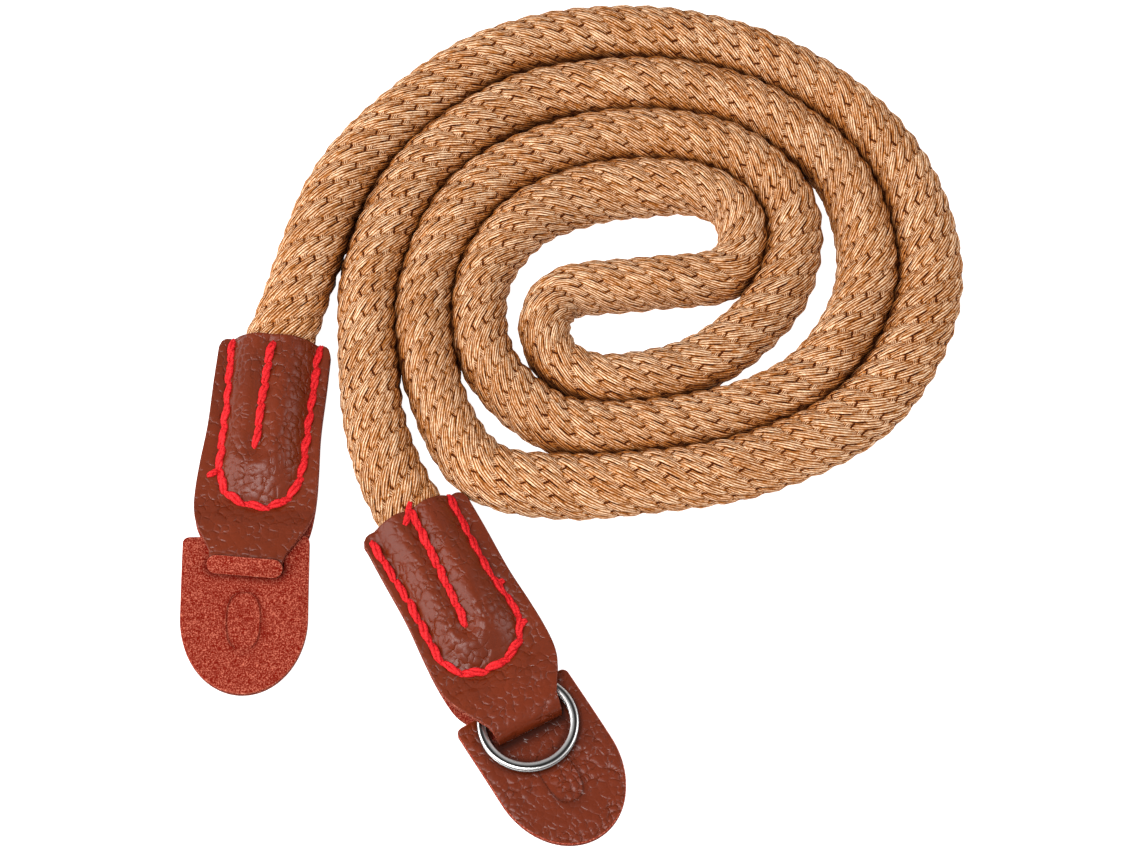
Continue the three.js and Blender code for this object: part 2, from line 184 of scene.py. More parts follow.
class RingSettings(bpy.types.PropertyGroup):
    """Finish of the split rings"""

    roughness: FloatProperty(name="Roughness", description="Polish of the steel", default=0.14)
    jog: angle_property("Jog", "Angle in which the wire steps up to its second turn", 34)


class StageSettings(bpy.types.PropertyGroup):
    """Camera, light and floor"""

    elevation: angle_property("Elevation", "Camera's angle above the floor", 65)
    distance: length_property("Distance", "Camera's distance from the aim", 0.6966)
    aim: FloatVectorProperty(
        name="Aim",
        description="Point that the camera looks at",
        default=(-0.0016, -0.0026, 0.0),
        unit="LENGTH",
    )
    lens: FloatProperty(name="Lens", description="Focal length in millimetres", default=110.0)
    floor_glow: FloatProperty(name="Floor glow", description="Light that the floor gives off", default=0.95)


class Shade:
    """A value in a node tree: arithmetic on it adds Math nodes, and node() adds any other node"""

    def __init__(self, tree, socket=None):
        self.tree = tree
        self.socket = socket

    def node(self, kind, settings=None, inputs=None, output=0):
        made = self.tree.nodes.new(kind)
        for name, value in (settings or {}).items():
            setattr(made, name, value)
        for name, value in (inputs or {}).items():
            if isinstance(value, Shade):
                self.tree.links.new(value.socket, made.inputs[name])
            else:
                made.inputs[name].default_value = value
        return Shade(self.tree, made.outputs[output])

    def maths(self, operation, *others):
        return self.node("ShaderNodeMath", {"operation": operation}, dict(enumerate((self, *others))))

    __add__ = __radd__ = partialmethod(maths, "ADD")
    __sub__ = partialmethod(maths, "SUBTRACT")
    __rsub__ = partialmethod(maths, "MULTIPLY_ADD", -1.0)
    __mul__ = __rmul__ = partialmethod(maths, "MULTIPLY")
    __truediv__ = partialmethod(maths, "DIVIDE")
    __mod__ = partialmethod(maths, "FLOORED_MODULO")
    __pow__ = partialmethod(maths, "POWER")
    __abs__ = partialmethod(maths, "ABSOLUTE")
    rounded = partialmethod(maths, "ROUND")
    floor = partialmethod(maths, "FLOOR")
    cosine = partialmethod(maths, "COSINE")
    above = partialmethod(maths, "GREATER_THAN")
    least = partialmethod(maths, "MINIMUM")
    most = partialmethod(maths, "MAXIMUM")

    def step(self, low, high):
        """0 below low, 1 above high, smooth between"""
        inputs = {"Value": self, "From Min": low, "From Max": high}
        return self.node("ShaderNodeMapRange", {"interpolation_type": "SMOOTHSTEP"}, inputs)

    def near(self, middle, within, beyond):
        """1 within that distance of the middle, 0 beyond the other, smooth between"""
        return 1 - abs(self - middle).step(within, beyond)

    def mix(self, low, high):
        """Colour low where this is 0, colour high where it is 1"""
        colours = [c if isinstance(c, Shade) else (*c, 1.0) for c in (low, high)]
        return self.node(
            "ShaderNodeMix", {"data_type": "RGBA"}, {0: self, 6: colours[0], 7: colours[1]}, output=2
        )

    def ramp(self, stops):
        """Colours at places from 0 to 1, blended between"""
        made = self.node("ShaderNodeValToRGB", inputs={0: self})
        elements = made.socket.node.color_ramp.elements
        while len(elements) < len(stops):
            elements.new(1.0)
        for element, (place, colour) in zip(elements, stops):
            element.position = place
            element.color = (*colour, 1.0)
        return made

    def attribute(self, name):
        return self.node("ShaderNodeAttribute", {"attribute_name": name}, output=2)

    def own_place(self):
        """The place on the object"""
        return self.node("ShaderNodeTexCoord", output=3)

    def stretched(self, *factors):
        return self.node("ShaderNodeVectorMath", {"operation": "MULTIPLY"}, {0: self, 1: factors})

    def noise(self, scale, detail=2.0, roughness=0.5, output=0):
        inputs = {"Vector": self, "Scale": scale, "Detail": detail, "Roughness": roughness}
        return self.node("ShaderNodeTexNoise", inputs=inputs, output=output)

    def chance(self, other):
        """A random value for each pair of whole numbers"""
        pair = self.node("ShaderNodeCombineXYZ", inputs={0: self, 1: other})
        return self.node("ShaderNodeTexWhiteNoise", {"noise_dimensions": "2D"}, {"Vector": pair})

    def bump(self, strength, distance):
        return self.node(
            "ShaderNodeBump", inputs={"Strength": strength, "Distance": distance, "Height": self}
        )


def new_material(name, constants):
    """A material with its shader's fixed sockets set, and the start of its expressions"""
    material = bpy.data.materials.new(name)
    material.use_nodes = True
    shader = material.node_tree.nodes["Principled BSDF"]
    for socket, value in constants.items():
        shader.inputs[socket].default_value = value
    return material, shader, Shade(material.node_tree)


def feed(shader, **values):
    for name, value in values.items():
        value.tree.links.new(value.socket, shader.inputs[name.replace("_", " ")])


def scaled(colour, *parts):
    """A colour's channels times one part, or each times its own"""
    each = parts if len(parts) > 1 else parts * 3
    return tuple(min(c * part, 1) for c, part in zip(colour, each))


def weighted(weights, values):
    return sum(weight * values[name] for name, weight in weights.items())


def eased(low, high, value):
    share = np.clip((value - low) / (high - low), 0, 1)
    return share * share * (3 - 2 * share)


def column(rows, at, index):
    """A column of a table at places between its rows, smoothly"""
    rows = np.array(rows, float)
    place, value = rows[:, 0], rows[:, index]
    slope = np.gradient(value, place)
    at = np.clip(at, place[0], place[-1])
    row = np.clip(np.searchsorted(place, at) - 1, 0, len(place) - 2)
    span = place[row + 1] - place[row]
    t = (at - place[row]) / span
    start = value[row] * (1 + 2 * t) * (1 - t) ** 2 + slope[row] * span * t * (1 - t) ** 2
    finish = value[row + 1] * t**2 * (3 - 2 * t) - slope[row + 1] * span * t**2 * (1 - t)
    return start + finish


def smooth_line(points, per_span):
    """A centripetal Catmull-Rom curve through points of the plane"""
    first = 2 * points[0] - points[1]
    last = 2 * points[-1] - points[-2]
    padded = np.vstack([first, points, last])
    share = np.linspace(0, 1, per_span, endpoint=False)[:, None]
    out = []
    for p0, p1, p2, p3 in zip(padded, padded[1:], padded[2:], padded[3:]):
        d0, d1, d2 = (np.linalg.norm(q - p) ** 0.5 for p, q in ((p0, p1), (p1, p2), (p2, p3)))
        t1 = ((p1 - p0) / d0 - (p2 - p0) / (d0 + d1) + (p2 - p1) / d1) * d1
        t2 = ((p2 - p1) / d1 - (p3 - p1) / (d1 + d2) + (p3 - p2) / d2) * d1
        bend = -3 * p1 + 3 * p2 - 2 * t1 - t2
        swing = 2 * p1 - 2 * p2 + t1 + t2
        out.append(p1 + t1 * share + bend * share**2 + swing * share**3)
    return np.vstack([*out, points[-1:]])


def running_mean(values, reach=4):
    count = 2 * reach + 1
    return np.convolve(np.pad(values, reach, mode="edge"), np.full(count, 1 / count), mode="valid")


def unit(vectors):
    return vectors / np.linalg.norm(vectors, axis=-1, keepdims=True)


def run_length(points):
    """Length along a line up to each of its points"""
    return np.concatenate([[0], np.cumsum(np.linalg.norm(np.diff(points, axis=0), axis=1))])


def between(at, run, values):
    """Rows of values at lengths between those of a run"""
    return np.stack([np.interp(at, run, one) for one in values.T], axis=-1)


def turned(x, y, degrees):
    """Points of a plane, turned from x towards y"""
    turn = math.radians(degrees)
    return x * math.cos(turn) - y * math.sin(turn), x * math.sin(turn) + y * math.cos(turn)


def to_world(end, across, along, up):
    """Points of an end's own frame, in millimetres, as places in metres"""
    x, y = turned(across, -along, end["heading"])
    return np.stack(np.broadcast_arrays(end["mouth"][0] + x, end["mouth"][1] + y, up), axis=-1) * MM


def activate(piece):
    bpy.ops.object.select_all(action="DESELECT")
    piece.select_set(True)
    bpy.context.view_layer.objects.active = piece


def added(name, add, **settings):
    """The object that an operator adds"""
    bpy.ops.object.select_all(action="DESELECT")
    add(**settings)
    bpy.context.object.name = name
    return bpy.context.object


def mesh_object(name, vertices, faces):
    mesh = bpy.data.meshes.new(name)
    mesh.from_pydata(vertices, [], faces)
    piece = bpy.data.objects.new(name, mesh)
    bpy.context.scene.collection.objects.link(piece)
    return piece


def tube_faces(rings, columns, first=0):
    """Faces of a closed tube whose points run ring by ring: its quads, then its two ends"""
    corner = np.arange(rings * columns).reshape(rings, columns) + first
    beside = np.roll(corner, -1, axis=1)
    quads = np.stack([corner[:-1], beside[:-1], beside[1:], corner[1:]], axis=-1).reshape(-1, 4)
    return quads.tolist() + [corner[0][::-1].tolist(), corner[-1].tolist()]


def points_of(piece):
    places = np.empty(len(piece.data.vertices) * 3)
    piece.data.vertices.foreach_get("co", places)
    return places.reshape(-1, 3)


def move_points(piece, places):
    piece.data.vertices.foreach_set("co", np.ascontiguousarray(places, np.float32).ravel())
    piece.data.update()


def add_attribute(piece, name, values):
    attribute = piece.data.attributes.new(name, "FLOAT", "POINT")
    attribute.data.foreach_set("value", values.astype(np.float32))


def apply_modifier(piece, kind, **settings):
    activate(piece)
    modifier = piece.modifiers.new(kind.title(), kind)
    for name, value in settings.items():
        setattr(modifier, name, value)
    bpy.ops.object.modifier_apply(modifier=modifier.name)


def round_edges(piece, **settings):
    limit = {"limit_method": "ANGLE", "angle_limit": math.radians(SHARP_EDGE)}
    apply_modifier(piece, "BEVEL", segments=2, **limit, **settings)


def edit_all():
    bpy.ops.object.mode_set(mode="EDIT")
    bpy.ops.mesh.select_all(action="SELECT")


def close_edit():
    bpy.ops.mesh.select_all(action="SELECT")
    bpy.ops.mesh.normals_make_consistent(inside=False)
    bpy.ops.object.mode_set(mode="OBJECT")


def smooth_shading(piece, degrees):
    activate(piece)
    bpy.ops.object.shade_smooth_by_angle(angle=math.radians(degrees))


def hand_in(piece, node):
    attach(piece, "root")
    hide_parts(node)


# The braid. Strands of two slants cross: one kind runs over four of the other, dives under the fifth and
# comes up again. Along the rope the pattern repeats after one step of a, and beside it after one step of b.
# Four steps of a less fourteen of b go once round the rope. A floating strand follows a + 2 b, and a crossing
# one 2 a - b
GIRTH_MM = 37.0
STEP_ROUND_MM = 0.5
STEPS_A, STEPS_B = 4, 14
STRANDS = STEPS_B + 2 * STEPS_A
CROSSED = 5
SLANT = 2 / CROSSED
# Where the mesh has its columns across a strand, and its rings along a repeat
COLUMNS = (-0.4, -0.2, 0.0, 0.2, 0.4)
SAMPLES = (0.0, 0.09, 0.25, 0.5, 0.75, 0.91)
# Heights are shares of the relief
DIVE, DIVE_POWER = 1.4, 2.8
CROWN = 1.4
LEAF_BROAD, LEAF_TAPER = 1.24, 0.5
PATCH_TOP, PATCH_FALL, PATCH_CROWN = 0.48, 1.6, 1.2
CORE = -1.0
# How much of the relief lies inside the route's width, and how far across the rope a crevice's shade begins
RELIEF_INSIDE = 0.36
CREVICE_FROM = 0.63
# Yarns across a strand, and how far they wander
YARNS, WANDER = 3.5, 0.3
# How much each thing brightens the rope, from a base, and how much it raises the fine relief. In the tone
# this is painted light and shade: raised parts and the yarns' ridges lighter, the seams between strands, the
# dive marks and the crevices darker; streak, ply, mottle and shift vary it at random
YARN_TONE_AND_SHADE = {
    "raised": 0.12, "crossing": 0.08, "yarn": 0.62, "ply": 0.5, "streak": 0.5, "mottle": 0.5, "shift": 0.12,
    "seam": -0.2, "tick": -0.75, "crevice_shade": -0.3,
}
YARN_BASE = 0.01
YARN_RELIEF = {"height": 0.22, "yarn": 0.5, "ply": 0.1, "tick": -0.35, "seam": -0.1, "mottle": 0.15}


def braid_steps(repeat):
    """The steps a and b as (along the rope in metres, share of a turn round it)"""
    round_a = STEP_ROUND_MM / GIRTH_MM
    a = (repeat, round_a)
    b = (repeat * STEPS_A / STEPS_B, (STEPS_A * round_a - 1) / STEPS_B)
    return a, b


def leaf_width(from_middle):
    """A float is broad in its middle and narrow where it dives"""
    return LEAF_BROAD - LEAF_TAPER * from_middle * from_middle


def float_height(m, offset):
    """Height of a floating strand. Offset is the distance across it, in strands"""
    from_middle = abs((m + SLANT * offset) % 1 - 0.5) * 2
    across = offset / leaf_width(from_middle)
    return 1 - DIVE * from_middle**DIVE_POWER - CROWN * across * across


def past_dive(m, offset):
    """Distance along a floating strand from where it dives, in crossing strands"""
    return ((m + SLANT * offset + 0.5) % 1 - 0.5) * CROSSED


def patch_height(m, offset):
    """Height of the crossing strand where the floating one has dived"""
    past = past_dive(m, offset)
    return PATCH_TOP - PATCH_FALL * offset * offset - PATCH_CROWN * past * past


def braid_height(m, w):
    offset = w - np.round(w)
    floats = [float_height(m, offset - beside) for beside in (-1, 0, 1)]
    return np.max([*floats, patch_height(m, offset)], axis=0)


def in_tab(end):
    rows = []
    for aside, (along, z, width, height) in zip(end["rope_aside"], ROPE_END):
        x, y, _ = to_world(end, aside, along, 0) / MM
        rows.append((x, y, z, width, height))
    return rows


def rope_route(height):
    """Rows of x, y, z, width and height, in millimetres, from the left tab to the right one"""

    def lying(x, y, width):
        return (x, y, height / 2, width, height)

    def coil(rows, start):
        bearings = [math.radians(start + turn) for turn, _, _ in rows]
        return [
            lying(COIL_MIDDLE[0] + radius * math.cos(b), COIL_MIDDLE[1] + radius * math.sin(b), width)
            for b, (_, radius, width) in zip(bearings, rows)
        ]

    out = in_tab(ENDS["left"])[::-1]
    out += [lying(*row) for row in LEAD_A[::-1]]
    out += coil(COIL_A, 180)[::-1]
    out += [lying(*COIL_MIDDLE, COIL_A[0][2])]
    out += coil(COIL_B, 0)
    out += [lying(*row) for row in LEAD_B]
    out += in_tab(ENDS["right"])
    return np.array(out)


class RopeLine:
    """The rope's centre line, and its side and half sizes at any length along it, in metres"""

    PER_SPAN = 16
    ANOTHER_LAP = 0.03
    BESIDE = 0.9
    GAP_CLOSED, GAP_OPEN = 0.0012, 0.002

    def __init__(self, height):
        rows = rope_route(height / MM) * MM
        plan = smooth_line(rows[:, :2], self.PER_SPAN)
        at_row = np.arange(len(plan)) / self.PER_SPAN
        level, width, tall = (np.interp(at_row, np.arange(len(rows)), rows[:, c]) for c in (2, 3, 4))
        self.along = run_length(plan)
        self.length = self.along[-1]
        self.points = np.column_stack([plan, level])
        way = unit(np.gradient(plan, axis=0))
        self.side = np.column_stack([-way[:, 1], way[:, 0]])
        self.half_height = tall / 2
        self.left, self.right = (self.pressed(width / 2, sign) for sign in (1, -1))

    def pressed(self, half, sign):
        """Half widths on one side, grown to meet the lap beside it where only a narrow gap is left, and how
        strongly shade is painted into that narrow gap"""
        plan = self.points[:, :2]
        way = plan[None] - plan[:, None]
        apart = np.linalg.norm(way, axis=2)
        aside = sign * np.einsum("ijk,ik->ij", way, self.side)
        elsewhere = np.abs(self.along[None] - self.along[:, None]) > self.ANOTHER_LAP
        facing = elsewhere & (aside > self.BESIDE * apart)
        gap = np.where(facing, apart - half[None] - half[:, None], 1.0).min(axis=1)
        grown = np.maximum(gap, 0) / 2 * (1 - eased(self.GAP_CLOSED, self.GAP_OPEN, gap))
        dim = 1 - eased(self.GAP_CLOSED, 2 * self.GAP_OPEN, gap)
        return np.column_stack([half + running_mean(grown), running_mean(dim)])

    def at(self, s, values):
        """Rows of values at lengths along the rope"""
        return between(s, self.along, values)


def rope_mesh(line, repeat, relief):
    """The braided skin: rings of a closed tube whose columns follow the strands, its UV = (phase, strand),
    and the strength of the shade painted into the crevices between laps"""
    a, b = braid_steps(repeat)
    repeat_along = a[0] + 2 * b[0]
    per_repeat = len(SAMPLES)
    rings = int(line.length / repeat_along * per_repeat) + per_repeat
    ring = np.arange(rings)[:, None, None]
    strand = np.arange(STRANDS)[None, :, None]
    offset = np.array(COLUMNS)[None, None, :]
    number = ring - np.round(strand * per_repeat * b[0] / repeat_along).astype(int)
    phase = number // per_repeat + np.array(SAMPLES)[number % per_repeat]
    m = phase - SLANT * offset
    w = strand + offset + 0 * m
    n = w + 2 * m
    s = np.clip(m * a[0] + n * b[0], 0, line.length)
    turn = 2 * math.pi * (m * a[1] + n * b[1])
    height = relief * braid_height(m, w)
    centre = line.at(s, line.points)
    across = np.sin(turn)
    pressed = np.where(across[..., None] > 0, line.at(s, line.left), line.at(s, line.right))
    wide = pressed[..., 0] - RELIEF_INSIDE * relief + height
    tall = np.interp(s, line.along, line.half_height) - relief + height
    places = np.empty((*s.shape, 3))
    places[..., :2] = centre[..., :2] + line.at(s, line.side) * (across * wide)[..., None]
    places[..., 2] = np.maximum(centre[..., 2] + np.cos(turn) * tall, 0)
    columns = STRANDS * len(COLUMNS)
    uv = np.stack([m, w], axis=-1).reshape(rings, columns, 2)
    crevice_shade = pressed[..., 1] * eased(CREVICE_FROM, 1.0, np.abs(across))
    return places.reshape(rings, columns, 3), uv, crevice_shade.ravel()


def braid_object(name, places, uv):
    """A tube with a UV map that steps on where a ring closes"""
    rings, columns, _ = places.shape
    piece = mesh_object(name, places.reshape(-1, 3), tube_faces(rings, columns))
    beside = np.concatenate([uv[:, 1:], uv[:, :1] + (-STEPS_A, STRANDS)], axis=1)
    loops = np.stack([uv[:-1], beside[:-1], beside[1:], uv[1:]], axis=2).reshape(-1, 2)
    corners = np.concatenate([loops, uv[0][::-1], uv[-1]])
    layer = piece.data.uv_layers.new(name="Braid")
    layer.data.foreach_set("uv", corners.astype(np.float32).ravel())
    piece.data.polygons.foreach_set("use_smooth", np.ones(len(piece.data.polygons), bool))
    piece.data.update()
    return piece


def rope_material(settings):
    material, shader, start = new_material("rope_braid", {"Specular IOR Level": 0.05})
    braid = start.node("ShaderNodeUVMap", {"uv_map": "Braid"})
    m = start.node("ShaderNodeSeparateXYZ", inputs={0: braid})
    w = Shade(m.tree, m.socket.node.outputs[1])

    # The strand on top, how far across it the place lies, and the strand just below
    offset = w - w.rounded()
    floating = float_height(m, offset)
    own = offset
    lows = []
    for beside in (-1, 1):
        other = float_height(m, offset - beside)
        own = own - other.above(floating) * beside
        lows.append(other.least(floating))
        floating = floating.most(other)
    patch = patch_height(m, offset)
    height = floating.most(patch)
    crossing = (patch - floating).step(-0.03, 0.03)
    # Painted shade along the seam where two floating strands meet
    seam = 1 - (floating - lows[0].most(lows[1]).most(CORE)).step(0.0, 0.15)

    # Painted shade: a dark mark where a strand dives, across its end and along one side, deeper at some than
    # at others
    past = past_dive(m, offset)
    ahead = 0 - past
    depth = 0.3 + 0.7 * (m + SLANT * offset).rounded().chance(w.rounded())
    end_mark = ahead.near(0.6, 0.05, 0.2) * offset.near(0, 0.3, 0.5)
    side_mark = offset.near(0.4, 0.03, 0.13) * ahead.step(0.1, 0.6) * (1 - ahead.step(1.4, 2.6))
    tick = depth * end_mark.most(side_mark)
    # Painted shade: the patch where a strand dives under the crossing one is tinted darker and redder
    patch_shade = depth * offset.near(0, 0.1, 0.5) * past.near(0, 0.3, 1.3)

    # The yarns of a strand, and the fibres of a yarn
    streak = braid.stretched(2.5, 9.0, 1.0).noise(1.0, 3.0) - 0.5
    ply = braid.stretched(16.0, 7.0, 1.0).noise(1.0, 1.0) - 0.5
    spot = start.own_place()
    mottle = spot.noise(1500.0, 2.0, 0.6) - 0.5
    wander = WANDER * streak
    phase = m + SLANT * own
    breadth = leaf_width(abs(phase % 1 - 0.5) * 2)
    along_float = abs(((own / breadth + wander) * (math.pi * YARNS)).cosine())
    along_cross = abs(((m * CROSSED + w * 2 + wander) * (math.pi * YARNS)).cosine())
    yarn = along_float + crossing * (along_cross - along_float)
    shift = phase.floor().chance((w - own).rounded()) - 0.5

    # Painted shade in the crevices between laps, carried by the mesh
    crevice_shade = start.attribute("CreviceShade")
    values = {
        "height": height, "raised": height.step(-0.1, 0.9), "crossing": crossing, "yarn": yarn, "ply": ply,
        "streak": streak, "mottle": mottle, "shift": shift, "seam": seam, "tick": tick, "crevice_shade": crevice_shade,
    }
    tan = tuple(settings.tan)
    # The tone runs from deep brown, the painted shade, through tan to pale, the painted highlight on the
    # yarns' ridges
    colour = (YARN_BASE + weighted(YARN_TONE_AND_SHADE, values)).ramp(
        ((0.0, settings.deep), (0.2, scaled(tan, 0.52, 0.38, 0.28)), (0.5, tan), (0.85, settings.pale))
    )
    # Painted shade on the dive patches
    colour = (0.12 * patch_shade).mix(colour, scaled(tan, 0.62, 0.38, 0.26))
    # Painted shade: the crevices between laps are darkened towards deep brown
    colour = (0.9 * crevice_shade.step(0.6, 1.0)).mix(colour, scaled(settings.deep, 0.6))
    brightness = 0.8 + 0.3 * spot.noise(70.0)
    feed(
        shader,
        Base_Color=start.node("ShaderNodeHueSaturation", inputs={"Value": brightness, "Color": colour}),
        Roughness=0.75 - 0.15 * yarn,
        Normal=weighted(YARN_RELIEF, values).bump(0.9, 0.0006),
    )
    return material


class STRAP_OT_rope(bpy.types.Operator):
    """Make the braided rope along its route"""

    bl_idname = "strap.rope"
    bl_label = "Rope"

    def execute(self, context):
        settings = context.scene.strap_rope
        line = RopeLine(settings.height)
        places, uv, crevice_shade = rope_mesh(line, settings.repeat, settings.relief)
        rope = braid_object("rope_braid", places, uv)
        # The painted shade for the crevices between laps
        add_attribute(rope, "CreviceShade", crevice_shade)
        rope.data.materials.append(rope_material(settings))
        hand_in(rope, "rope")
        return {"FINISHED"}


# A tab in its own frame, in millimetres: along runs from the mouth to the fold, across to the right of it,
# up from the table. Columns: along, half width, seam between the plies, underside and top of the middle
TAB_ROWS = (
    (0.0, 11.2, 5.4, 0.0, 10.8),
    (9.0, 11.3, 5.4, 0.0, 10.9),
    (20.0, 11.3, 5.1, 0.0, 10.5),
    (27.5, 11.8, 4.8, 0.1, 9.2),
    (32.5, 12.0, 4.4, 1.5, 6.7),
    (35.6, 11.9, 4.2, 2.8, 5.4),
    (37.9, 11.5, 4.2, 2.8, 5.4),
    (41.0, 10.4, 4.2, 2.8, 5.4),
    (43.8, 8.8, 4.2, 2.8, 5.4),
    (46.2, 7.4, 4.2, 2.8, 5.4),
)
TAB_LENGTH = 49.6
PLY_GAP = 0.02
PLIES_PART, PLIES_PARTED = 34.6, 40.6
MOUTH_CORNER = 2.0
LOOP_HEIGHT = 6.75
FOLD_RADIUS = LOOP_HEIGHT / 2
FOLD_CENTRE = TAB_LENGTH - FOLD_RADIUS
FOLD_HALF_WIDTH = 6.8
BULGE_HALF_WIDTH = 8.3
BULGE_ROUNDS, BULGE_ENDS = 25.0, 35.6
BULGE_FLAT, BULGE_STEEP = 2.3, 0.9
# How wide and how deep the stitches draw the leather in
VALLEY_WIDTH, SEAM_WIDTH, SEAM_DEPTH = 2.3, 0.9, 0.4
TAB_COLUMNS, TAB_ROWS_TOP, TAB_ROWS_FOLD, TAB_ROWS_UNDER = 48, 96, 14, 60
TAB_RIM = 0.0002
SHARP_EDGE = 50


def line_distance(along, across, points):
    """Distance from places on a tab to a line of stitches"""
    nearest = np.full(np.shape(along), 1e9)
    for (a0, c0), (a1, c1) in zip(points, points[1:]):
        da, dc = a1 - a0, c1 - c0
        share = np.clip(((along - a0) * da + (across - c0) * dc) / (da**2 + dc**2), 0, 1)
        nearest = np.minimum(nearest, np.hypot(along - a0 - share * da, across - c0 - share * dc))
    return nearest


def tab_bulge(along, across):
    """How far a tab stands up over the rope's end: 0 at the seam, 1 over the middle"""
    past = np.clip((along - BULGE_ROUNDS) / (BULGE_ENDS - BULGE_ROUNDS), 0, 1)
    half = BULGE_HALF_WIDTH * np.sqrt(np.maximum(1 - past**2, 1e-4))
    share = np.minimum(np.abs(across) / half, 1)
    return (1 - share**BULGE_FLAT) ** BULGE_STEEP


def tab_top(end, along, across, leather):
    """Height of a tab's upper skin, in millimetres"""
    seam = column(TAB_ROWS, along, 2) + leather + PLY_GAP
    height = seam + np.maximum(column(TAB_ROWS, along, 4) - seam, 0) * tab_bulge(along, across)
    middle = line_distance(along, across, end["middle_line"])
    sides = line_distance(along, across, end["side_line"])
    height = height - end["valley"] * np.exp(-((middle / VALLEY_WIDTH) ** 2))
    height = height - SEAM_DEPTH * np.exp(-((sides / SEAM_WIDTH) ** 2))
    return height + (LOOP_HEIGHT - height) * eased(PLIES_PART, PLIES_PARTED, along)


def tab_under(along, across, leather):
    seam = column(TAB_ROWS, along, 2) - leather - PLY_GAP
    height = seam - np.maximum(seam - column(TAB_ROWS, along, 3), 0) * tab_bulge(along, across)
    return np.maximum(height * (1 - eased(PLIES_PART, PLIES_PARTED, along)), 0)


def tab_skin(end, across_share, row, leather):
    """The outside of a tab, as one strip from the mouth over the top, round the fold and back underneath"""
    fold_from, fold_to = TAB_ROWS_TOP, TAB_ROWS_TOP + TAB_ROWS_FOLD
    rows = fold_to + TAB_ROWS_UNDER
    past_corner = np.maximum(np.abs(across_share) * TAB_ROWS[0][1] - TAB_ROWS[0][1] + MOUTH_CORNER, 0)
    edge = MOUTH_CORNER - np.sqrt(np.maximum(MOUTH_CORNER**2 - past_corner**2, 0))
    on_top = edge + np.clip(row / fold_from, 0, 1) * (FOLD_CENTRE - edge)
    on_under = edge + np.clip((rows - row) / TAB_ROWS_UNDER, 0, 1) * (FOLD_CENTRE - edge)
    angle = np.clip((row - fold_from) / TAB_ROWS_FOLD, 0, 1) * math.pi
    along = np.where(row <= fold_from, on_top, on_under)
    half = column(TAB_ROWS, along, 1)
    reach = np.sin(angle)
    half = half + (FOLD_HALF_WIDTH - half) * reach
    across = across_share * half
    up = np.where(row <= fold_from, tab_top(end, along, across, leather), tab_under(along, across, leather))
    folding = (row > fold_from) & (row < fold_to)
    up = np.where(folding, FOLD_RADIUS + FOLD_RADIUS * np.cos(angle), up)
    along = np.where(folding, FOLD_CENTRE + FOLD_RADIUS * reach, along)
    return to_world(end, across, along, up)


def grain_material(settings, name, pebbles, worn):
    """The smooth side of the leather: pebbles with fine creases between them, half glossy"""
    material, shader, start = new_material(name, {"Specular IOR Level": 0.22})
    place = start.own_place()
    drift = place.noise(260.0, output=1)
    bent = start.node("ShaderNodeVectorMath", {"operation": "SCALE"}, {0: drift, "Scale": 0.0016})
    bent = start.node("ShaderNodeVectorMath", {"operation": "ADD"}, {0: place, 1: bent})
    pebble, border = (
        start.node("ShaderNodeTexVoronoi", {"feature": feature}, {"Vector": bent, "Scale": pebbles})
        for feature in ("F1", "DISTANCE_TO_EDGE")
    )
    crease = (1 - border.step(0.0, 0.16)) * place.noise(600.0, 1.0).step(0.46, 0.58)
    patchy = place.noise(150.0).step(0.34, 0.62)
    fine = place.noise(2600.0, 3.0)
    cloud = place.noise(90.0, 3.0)
    tone = 0.5 + 0.6 * (cloud - 0.5) + 0.3 * (fine - 0.5)
    brown = tuple(settings.brown)
    colour = tone.step(0.1, 0.9).mix(scaled(brown, 0.75), scaled(brown, 1.3))
    # Painted shadow: where the guard's shade attribute is high, the colour goes to dark brown and the pebbles
    # and the roughness are lowered
    shadow = start.attribute("PaintedShade")
    rough = worn * (0.25 + 0.75 * patchy) * (1 - 0.85 * shadow)
    height = 0.3 * cloud + 0.04 * fine - rough * (pebble * pebble + 0.3 * crease)
    feed(
        shader,
        Base_Color=shadow.mix(colour, scaled(brown, 0.15)),
        Roughness=0.24 + 0.14 * fine - 0.1 * shadow,
        Normal=height.bump(settings.grain, 0.0004),
    )
    return material


def suede_material(name, colour):
    """The rough side of the leather, or its cut edge"""
    material, shader, start = new_material(name, {"Specular IOR Level": 0.03})
    place = start.own_place()
    fibre = place.noise(3300.0, 4.0, 0.8)
    tuft = place.noise(1000.0, 3.0, 0.6)
    tone = (0.4 + 3.8 * (fibre - 0.5) + 0.5 * (tuft - 0.5)).step(0.0, 1.0)
    dim = scaled(colour, 0.74, 0.2, 0.1)
    pale = tuple(min(c + more, 1) for c, more in zip(colour, (0.34, 0.125, 0.08)))
    # Painted shadow from the guard's shade attribute darkens the suede round the flap
    feed(
        shader,
        Base_Color=start.attribute("PaintedShade").mix((tone * tone).mix(dim, pale), scaled(dim, 0.4, 0.2, 0.2)),
        Roughness=0.85 + 0.1 * fibre,
        Normal=(fibre + 0.6 * tuft).bump(0.5, 0.0003),
    )
    return material


